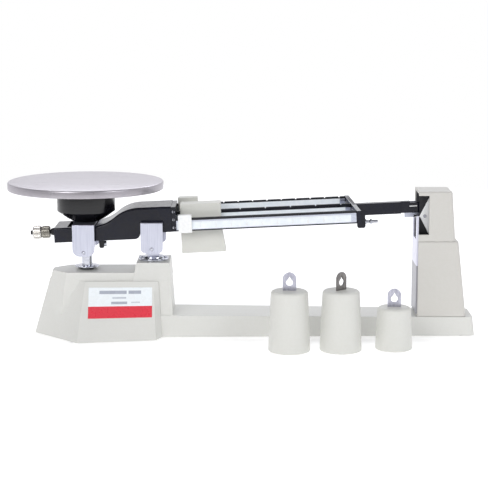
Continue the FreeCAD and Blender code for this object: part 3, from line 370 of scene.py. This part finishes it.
def rounded(*corners, steps=4):
    """An outline from corners of (radius, height, rounding) in mm."""
    points = []
    for i, (x, z, rounding) in enumerate(corners):
        here = Vector((x, z))
        if not rounding:
            points.append((x, z))
            continue
        before = (Vector(corners[i - 1][:2]) - here).normalized()
        after = (Vector(corners[(i + 1) % len(corners)][:2]) - here).normalized()
        half = before.angle(after) / 2
        centre = here + (before + after).normalized() * rounding / math.sin(half)
        reach = rounding / math.tan(half)
        first, last = here + before * reach - centre, here + after * reach - centre
        for step in range(steps + 1):
            arm = first.slerp(last, step / steps)
            points.append(tuple(centre + arm.normalized() * rounding))
    return points


def joined(*meshes):
    """Several meshes as one, with the material in the first one's first slot."""
    work = bmesh.new()
    for mesh in meshes:
        work.from_mesh(mesh)
    whole = bpy.data.meshes.new("mesh")
    work.to_mesh(whole)
    work.free()
    whole.materials.append(meshes[0].materials[0])
    return whole


# ---------------------------------------------------------------- Geometry Nodes
def new_tree(name, **kinds):
    """A tree with named inputs: returns it, its inputs' identifiers, and their sockets."""
    tree = bpy.data.node_groups.new(name, "GeometryNodeTree")
    tree.interface.new_socket("Geometry", in_out="OUTPUT", socket_type="NodeSocketGeometry")
    keys = {
        label: tree.interface.new_socket(
            label, in_out="INPUT", socket_type="NodeSocket" + kind).identifier
        for label, kind in kinds.items()}
    return tree, keys, add(tree, "NodeGroupInput", out=None).outputs


def close_tree(tree, instances, material):
    """Makes the instances real, gives them their material and ends the tree."""
    real = add(tree, "GeometryNodeRealizeInstances", {0: instances})
    covered = add(tree, "GeometryNodeSetMaterial", {"Geometry": real, "Material": material})
    add(tree, "NodeGroupOutput", {0: covered}, out=None)


def row_tree():
    """Blocks of one size in a row along X: the ticks of a scale, or ribs."""
    tree, keys, entry = new_tree(
        "row_of_blocks", Count="Int", Pitch="Float", Size="Vector", Material="Material")
    step = add(tree, "ShaderNodeCombineXYZ", {"X": entry["Pitch"]})
    line = add(tree, "GeometryNodeMeshLine", {"Count": entry["Count"], "Offset": step})
    block = add(tree, "GeometryNodeMeshCube", {"Size": entry["Size"]})
    row = add(tree, "GeometryNodeInstanceOnPoints", {"Points": line, "Instance": block})
    close_tree(tree, row, entry["Material"])
    return tree, keys


def ring_tree():
    """Square ridges in a ring round Z, each with an edge outwards: a knurl."""
    tree, keys, entry = new_tree(
        "ring_of_ridges", Count="Int", Radius="Float", Size="Vector", Material="Material")
    ring = add(tree, "GeometryNodeMeshCircle", {
        "Vertices": entry["Count"], "Radius": entry["Radius"]})
    index = add(tree, "GeometryNodeInputIndex")
    part = add(tree, "ShaderNodeMath", {0: index, 1: entry["Count"]}, operation="DIVIDE")
    turn = add(tree, "ShaderNodeMath", {0: part, 1: 2 * math.pi}, operation="MULTIPLY")
    facing = add(tree, "ShaderNodeCombineXYZ", {"Z": turn})
    ridge = add(tree, "GeometryNodeTransform", {
        "Geometry": add(tree, "GeometryNodeMeshCube", {"Size": entry["Size"]}),
        "Rotation": (0, 0, math.radians(45))})
    around = add(tree, "GeometryNodeInstanceOnPoints", {
        "Points": ring, "Instance": ridge, "Rotation": facing})
    close_tree(tree, around, entry["Material"])
    return tree, keys


def screw_tree():
    """Slotted cheese-head screws in a row along X, heads up from Z = 0."""
    tree, keys, entry = new_tree(
        "slotted_screw_heads", Count="Int", Pitch="Float", Radius="Float", Height="Float",
        Material="Material")
    half = add(tree, "ShaderNodeMath", {0: entry["Height"], 1: 0.5}, operation="MULTIPLY")
    width = add(tree, "ShaderNodeMath", {0: entry["Radius"], 1: 0.3}, operation="MULTIPLY")
    length = add(tree, "ShaderNodeMath", {0: entry["Radius"], 1: 2.4}, operation="MULTIPLY")
    head = add(tree, "GeometryNodeTransform", {
        "Geometry": add(tree, "GeometryNodeMeshCylinder", {
            "Vertices": 28, "Radius": entry["Radius"], "Depth": entry["Height"]}),
        "Translation": add(tree, "ShaderNodeCombineXYZ", {"Z": half})})
    slot_size = add(tree, "ShaderNodeCombineXYZ", {"X": length, "Y": width, "Z": entry["Height"]})
    slot = add(tree, "GeometryNodeTransform", {
        "Geometry": add(tree, "GeometryNodeMeshCube", {"Size": slot_size}),
        "Translation": add(tree, "ShaderNodeCombineXYZ", {"Z": entry["Height"]}),
        "Rotation": (0, 0, math.radians(35))})
    cut = add(tree, "GeometryNodeMeshBoolean", {0: head, 1: slot}, operation="DIFFERENCE")
    step = add(tree, "ShaderNodeCombineXYZ", {"X": entry["Pitch"]})
    line = add(tree, "GeometryNodeMeshLine", {"Count": entry["Count"], "Offset": step})
    row = add(tree, "GeometryNodeInstanceOnPoints", {"Points": line, "Instance": cut})
    close_tree(tree, row, entry["Material"])
    return tree, keys


def grown(tree_and_keys, matrix, **values):
    """What a tree makes of these inputs, as a placed mesh."""
    tree, keys = tree_and_keys
    inputs = {keys[label]: value for label, value in values.items()}
    mesh = baked(bpy.data.meshes.new("seed"), "NODES", node_group=tree, inputs=inputs)
    mesh.transform(matrix)
    mesh.shade_smooth()
    mesh.set_sharp_from_angle(angle=math.radians(30))
    return mesh


rows, knurls, screws = row_tree(), ring_tree(), screw_tree()


def at(x, y, z, turn=Matrix.Identity(4)):
    """A place in mm in the rest frame."""
    return Matrix.Translation(Vector((x, y, z)) * MM) @ turn


def on_beam(x, y, z, turn=Matrix.Identity(4)):
    """A place in mm in the beam's own frame."""
    return beam_to_rest @ at(x, y, z, turn)


FACING_FRONT = Matrix.Rotation(math.radians(90), 4, "X")
ALONG_BEAM = Matrix.Rotation(math.radians(90), 4, "Y")
FACING_LEFT = Matrix.Rotation(math.radians(-90), 4, "Y")

# ---------------------------------------------------------------- base
RIM_TOP_Z = 1.5    # the base's open rim below this keeps its sharp edges


def above_rim(middle):
    """Whether an edge's middle, in mm, is above the base's rim."""
    return middle.z > RIM_TOP_Z


dressed("base_casting", "base", "beige_enamel", enamel, 1.6, above_rim)
# The tower's housing and cap take the darker copy of the coat: painted shade.
dressed("tower_housing", "base", "beige_enamel", tower_enamel_painted_shade, 0.8)
dressed("tower_cap", "base", "beige_enamel", tower_enamel_painted_shade, 0.6)
for node, body in (("weight_a_body", "weight_a"), ("weight_b_body", "weight_b"),
                   ("weight_c_body", "weight_c")):
    dressed(node, body, "beige_enamel", weight_enamel)
dressed("weight_a_eye", "weight_a", "nickel_plate", eye_steel, 0.25)
# Weight b's eye, turned aside, takes the darker eye steel: painted shade.
dressed("weight_b_eye", "weight_b", "nickel_plate", eye_steel_painted_shade, 0.25)
dressed("weight_c_eye", "weight_c", "nickel_plate", eye_steel, 0.25)

dressed("fulcrum_side_plates", "base", "nickel_plate", satin_nickel, 0.3)
low, high = box_mm("fulcrum_flange")
radius = (high.x - low.x) / 2
step_r, step_z = 10.2, low.z + 2.0    # the raised middle step, and where the foot ends
flange = rounded(
    (0, low.z, 0), (radius, low.z, 0.3), (radius, step_z, 0.7), (step_r + 0.5, step_z, 0.4),
    (step_r, high.z, 0.7), (0, high.z, 0))
piece("fulcrum_flange_form", lathe(flange, turned_nickel, at(0, 0, 0)), "base", "nickel_plate",
      "fulcrum_flange")

# ---------------------------------------------------------------- pan support and plate
dressed("pan_stirrup", "pan_support", "nickel_plate", satin_nickel, 0.3)
low, high = box_mm("weighing_plate")
pan_x, plate_r = (low.x + high.x) / 2, (high.x - low.x) / 2
sheet = 1.2
plate = rounded(
    (0, high.z - sheet, 0), (plate_r - sheet, high.z - sheet, 1.2), (plate_r - sheet, low.z, 0.4),
    (plate_r, low.z, 0.5), (plate_r, high.z, 1.5), (0, high.z, 0))
piece("weighing_plate_form", lathe(plate, stainless, at(pan_x, 0, 0), 192), "weighing_plate",
      "stainless", "weighing_plate")

low, high = box_mm("pan_holder")
cup_r, neck_r, wall, cone_h = (high.x - low.x) / 2, 13.5, 2.2, 9.6
cone_z = low.z + cone_h
holder = rounded(
    (2.1, low.z, 0), (neck_r, low.z, 0.5), (neck_r + 3.4, low.z + 2.2, 0.8),
    (neck_r + 4.4, low.z + 2.4, 0.4), (cup_r, cone_z, 1.2), (cup_r, high.z, 0.6),
    (cup_r - wall, high.z, 0.6), (cup_r - wall, cone_z + wall / 2, 2.0),
    (neck_r - wall, low.z + wall, 1.0), (2.1, low.z + wall, 0))
piece("pan_holder_form", lathe(holder, black_abs, at(pan_x, 0, 0)), "pan_support",
      "black_plastic", "pan_holder")

low, high = box_mm("dust_disc")
disc_r, post_r = (high.x - low.x) / 2, 5.02    # the post, with a hair of room
disc = rounded(
    (post_r, low.z, 0), (disc_r, low.z, 0.3), (disc_r, high.z - 0.5, 0.5),
    (post_r + 2.4, high.z, 0.3), (post_r, high.z, 0))
piece("dust_disc_form", lathe(disc, turned_nickel, at(pan_x, 0, 0)), "pan_support",
      "nickel_plate", "dust_disc")
WASHER_R, WASHER_T = 9.2, 1.3
washer = rounded(
    (post_r, low.z - WASHER_T, 0), (WASHER_R, low.z - WASHER_T, 0.4), (WASHER_R, low.z, 0),
    (post_r, low.z, 0))
piece("dust_washer", lathe(washer, rubber, at(pan_x, 0, 0), 64), "pan_support", "foot_rubber")

# ---------------------------------------------------------------- beam casting and end frame
dressed("beam_casting", "beam", "black_enamel", gloss_enamel, 0.7)
dressed("beam_end_frame", "beam", "black_enamel", gloss_enamel, 0.6)
dressed("beam_tip", "beam", "black_enamel", gloss_enamel, 0.35)
dressed("hanger_stud", "beam", "nickel_plate", turned_nickel)

# ---------------------------------------------------------------- zero knob and lock nut
def knurled_nut(node, body, material, ridges):
    """A drum round the beam's axis with a knurled waist and turned ends."""
    low, high = beam_box(node)
    radius, length = (high.z - low.z) / 2, high.x - low.x
    axis_z = (high.z + low.z) / 2
    bore, depth = 2.06, 0.45
    drum = rounded(
        (bore, 0, 0), (radius - 0.5, 0, 0.5), (radius - depth, 1.0, 0.2),
        (radius - depth, length - 1.0, 0.2), (radius - 0.5, length, 0.5), (bore, length, 0))
    place = on_beam(low.x, 0, axis_z, ALONG_BEAM)
    middle = on_beam(low.x + length / 2, 0, axis_z, ALONG_BEAM)
    side = 0.9 * MM
    teeth = grown(
        knurls, middle, Count=ridges, Radius=(radius - 0.66) * MM,
        Size=(side, side, (length - 2.2) * MM), Material=material)
    piece(node + "_form", joined(lathe(drum, material, place, 64), teeth), body,
          "nickel_plate", node)


knurled_nut("zero_knob", "zero_knob", knurled_nickel, 30)
knurled_nut("zero_lock_nut", "beam", dull_nickel, 24)

# ---------------------------------------------------------------- riders
for name, material, slot in (("front", white_enamel, "white_enamel"),
                             ("middle", rider_enamel, "beige_enamel"),
                             ("back", rider_enamel, "beige_enamel")):
    node = name + "_rider"
    dressed(node, node, slot, material, 0.45)

# ---------------------------------------------------------------- bars, strips, numbers
STRIP_T = beam_box("front_bar")[0].y - beam_box("scale_strips")[0].y
PRINT_T = 0.03
# name: strip's bottom and height over the bar's bottom, black foot's and black top's heights,
# first number's X, step in X, numbers, last number
SCALES = {
    "front": (1.8, 7.0, 1.2, 10.2, 31.9, 14.7, 11, 10),
    "middle": (1.5, 7.6, 1.0, 9.0, 60.6, 24.36, 6, 500),
    "back": (1.8, 8.8, 1.2, 10.6, 40.6, 14.15, 11, 100),
}
DIGIT_H = 3.2
EM_PER_DIGIT = 1.38    # the font's size over the height of its figures


def digits(text, matrix):
    """One printed number, standing on its strip."""
    curve = bpy.data.curves.new("digits", "FONT")
    curve.body, curve.size, curve.extrude = text, DIGIT_H * EM_PER_DIGIT * MM, PRINT_T * MM
    curve.align_x = "CENTER"
    curve.resolution_u = 3
    source = bpy.data.objects.new("digits", curve)
    collection.objects.link(source)
    graph = bpy.context.evaluated_depsgraph_get()
    mesh = bpy.data.meshes.new_from_object(source.evaluated_get(graph))
    bpy.data.objects.remove(source)
    mesh.materials.clear()
    mesh.materials.append(ink)
    mesh.transform(matrix)
    return mesh


for name, (strip_z, strip_h, foot, top, first, step, count, last) in SCALES.items():
    low, high = beam_box(name + "_bar")
    face = low.y - STRIP_T
    pivot_mm = pivot / MM
    through_origin = low.z + pivot_mm.z * math.cos(tilt)
    bar_material = lacquered_bar("lacquered_bar_" + name, through_origin, foot, top, tilt)
    frame["nodes"][name + "_bar"].material_slots[0].material = bar_material
    edge = low.z + strip_z + strip_h
    marks = []
    splits = 10 if name == "front" else 1
    for every, length in ((1, 1.3), (5, 1.8), (10, 2.4)):
        if every > 1 and splits == 1:
            continue
        marks.append(grown(
            rows, on_beam(first, face, edge - 0.3 - length / 2),
            Count=(count - 1) * splits // every + 1, Pitch=step / splits * every * MM,
            Size=(0.22 * MM, 2 * PRINT_T * MM, length * MM), Material=ink))
    for i in range(count):
        label = str(round(last * i / (count - 1)))
        marks.append(digits(label, on_beam(
            first + i * step, face, low.z + strip_z + 0.9, FACING_FRONT)))
    piece(name + "_scale_print", joined(*marks), "beam", "scale_film")

# ---------------------------------------------------------------- screws and small marks
for name, spot, radius, material in (
        ("end_frame_screw_middle", (193.3, -3.6, 9.8), 1.7, turned_nickel),
        ("end_frame_screw_back", (188.9, 16.4, 14.2), 1.5, bare_steel)):
    mesh = grown(screws, on_beam(*spot, FACING_LEFT), Count=1, Pitch=0.0, Radius=radius * MM,
                 Height=1.3 * MM, Material=material)
    piece(name, mesh, "beam", "screw_steel")

low, high = beam_box("beam_casting")
ribs = grown(
    rows, on_beam(low.x + 112.9, low.y + 0.4, 11.2), Count=2, Pitch=2.3 * MM,
    Size=(1.0 * MM, 0.8 * MM, 21.0 * MM), Material=gloss_enamel)
piece("nose_ribs", ribs, "beam", "black_enamel")
QUARTER_TURN = Matrix.Rotation(math.radians(90), 4, "Z")
nose_screws = grown(
    screws, on_beam(21.2, low.y + 0.75, 3.0, FACING_FRONT @ QUARTER_TURN),
    Count=3, Pitch=7.6 * MM, Radius=1.3 * MM, Height=0.7 * MM, Material=bare_steel)
piece("nose_screws", nose_screws, "beam", "screw_steel")

low, high = box_mm("index_plate")
zero_line = grown(
    rows, at(low.x + 2.8, low.y - 0.02, 116.4), Count=1, Pitch=0.0,
    Size=(5.2 * MM, 0.06 * MM, 0.5 * MM), Material=white_enamel)
piece("zero_line", zero_line, "base", "white_enamel")

# ---------------------------------------------------------------- finishes of the CAD nodes
low, high = box_mm("front_label")
middle_x, band_z = (low.x + high.x) / 2, low.z + 10.6
BLANK_BARS = [
    (middle_x - 7.0, band_z + 12.6, 13.0, 1.5, "A9AEBB"),
    (middle_x + 13.8, band_z + 12.6, 6.0, 1.5, "A9AEBB"),
    (middle_x - 1.0, band_z + 7.6, 6.6, 0.8, "C6CBD4"),
    (middle_x - 1.0, band_z + 3.0, 7.6, 1.2, "AEB3BF"),
    (middle_x + 14.6, band_z + 3.4, 4.2, 0.5, "C6CBD4"),
]
FINISHES = {
    "front_label": vinyl_label(band_z, BLANK_BARS),
    "rubber_feet": rubber, "stop_pads": rubber,
    "fulcrum_post": satin_nickel, "fulcrum_cross_bar": satin_nickel,
    "fulcrum_rivets": turned_nickel, "flange_screws": turned_nickel, "link_anchor": zinc_steel,
    "tower_screws": bare_steel, "damper_magnets": ferrite, "damper_yoke": zinc_steel,
    "tower_face_plate": brushed_face(69.0),
    "index_plate": matt_lacquer, "index_pointer": white_enamel,
    "fulcrum_knife_edge": ground_steel, "pan_knife_edge": ground_steel,
    "sensitivity_screw": turned_nickel, "scale_strips": strip_lacquer,
    "pointer_line": white_enamel, "damping_vane": aluminium, "zero_rod": matt_lacquer,
    "pan_cross_bar": satin_nickel, "pan_post": turned_nickel, "post_foot_pin": bare_steel,
    "pan_rivets": turned_nickel, "holder_screw": bare_steel, "tare_ballast": zinc_steel,
    "plate_locating_ring": stainless, "check_link": zinc_steel,
}
stone = polished_agate()
for node in ("fulcrum_bearings", "pan_bearings"):
    FINISHES[node] = stone
for node, material in FINISHES.items():
    frame["nodes"][node].material_slots[0].material = material

# ---------------------------------------------------------------- table, light and camera
floor_work = bmesh.new()
bmesh.ops.create_circle(floor_work, cap_ends=True, segments=96, radius=1.1)
# A lit acrylic table: white with a soft glow from below, and a fine matt tooth.
table_top = surface("opal_acrylic_table", ("F4F4F4", "F0F0F0"), (8, 8, 8), (0.75, 0.85), 0.01,
                    Emission_Color=(1, 1, 1, 1), Emission_Strength=0.42)
floor_mesh = settle(floor_work, table_top, at(86, 0, 0))
floor = bpy.data.objects.new("table", floor_mesh)
collection.objects.link(floor)

# The room: white to the eye, with light that falls off towards the front and below.
world = bpy.data.worlds.new("studio")
bpy.context.scene.world = world
world.use_nodes = True
sky = world.node_tree
sky.nodes.clear()
axes = add(sky, "ShaderNodeSeparateXYZ", {0: add(sky, "ShaderNodeTexCoord", out="Generated")},
           out=None).outputs
back = add(sky, "ShaderNodeMapRange", {
    "Value": axes["Y"], "From Min": -0.8, "From Max": 0.6, "To Min": 0.45, "To Max": 1.0})
high_up = add(sky, "ShaderNodeMapRange", {
    "Value": axes["Z"], "From Min": 0.1, "From Max": 0.9, "To Min": 1.0, "To Max": 0.5})
strength = add(sky, "ShaderNodeMath", {0: back, 1: high_up}, operation="MULTIPLY")
room = add(sky, "ShaderNodeBackground", {"Color": (0.97, 0.97, 1.0, 1), "Strength": strength})
white = add(sky, "ShaderNodeBackground", {"Color": (1, 1, 1, 1), "Strength": 1.0})
seen = add(sky, "ShaderNodeLightPath", out="Is Camera Ray")
mixed = add(sky, "ShaderNodeMixShader", {0: seen, 1: room, 2: white})
add(sky, "ShaderNodeOutputWorld", {0: mixed}, out=None)


def softbox(name, place, aim, size, power, tint):
    """A rectangular area light that faces a point."""
    lamp = bpy.data.lights.new(name, "AREA")
    lamp.shape = "RECTANGLE"
    lamp.size, lamp.size_y = size
    lamp.energy = power
    lamp.color = tint
    holder = bpy.data.objects.new(name, lamp)
    collection.objects.link(holder)
    holder.location = place
    away = Vector(place) - Vector(aim)
    holder.rotation_euler = away.to_track_quat("Z", "Y").to_euler()


AIM = (0.086, 0.0, 0.07)
softbox("key_light", (-0.75, -1.5, 1.0), AIM, (0.9, 0.9), 13.0, (1.0, 1.0, 1.0))
softbox("fill_light", (1.3, -1.2, 0.8), AIM, (0.8, 0.8), 7.0, (0.97, 0.98, 1.0))
softbox("back_light", (0.2, 1.2, 1.1), AIM, (1.6, 0.5), 9.0, (0.94, 0.96, 1.0))

eye = bpy.data.cameras.new("camera")
eye.lens, eye.sensor_width = 110.66, 36.0
eye.clip_start, eye.clip_end = 0.05, 50.0
camera = bpy.data.objects.new("camera", eye)
collection.objects.link(camera)
camera.location = (0.08785, -1.437, 0.337)
camera.rotation_euler = (math.radians(80.14), 0.0, 0.0)
bpy.context.scene.camera = camera
bpy.context.scene.view_settings.view_transform = "Standard"
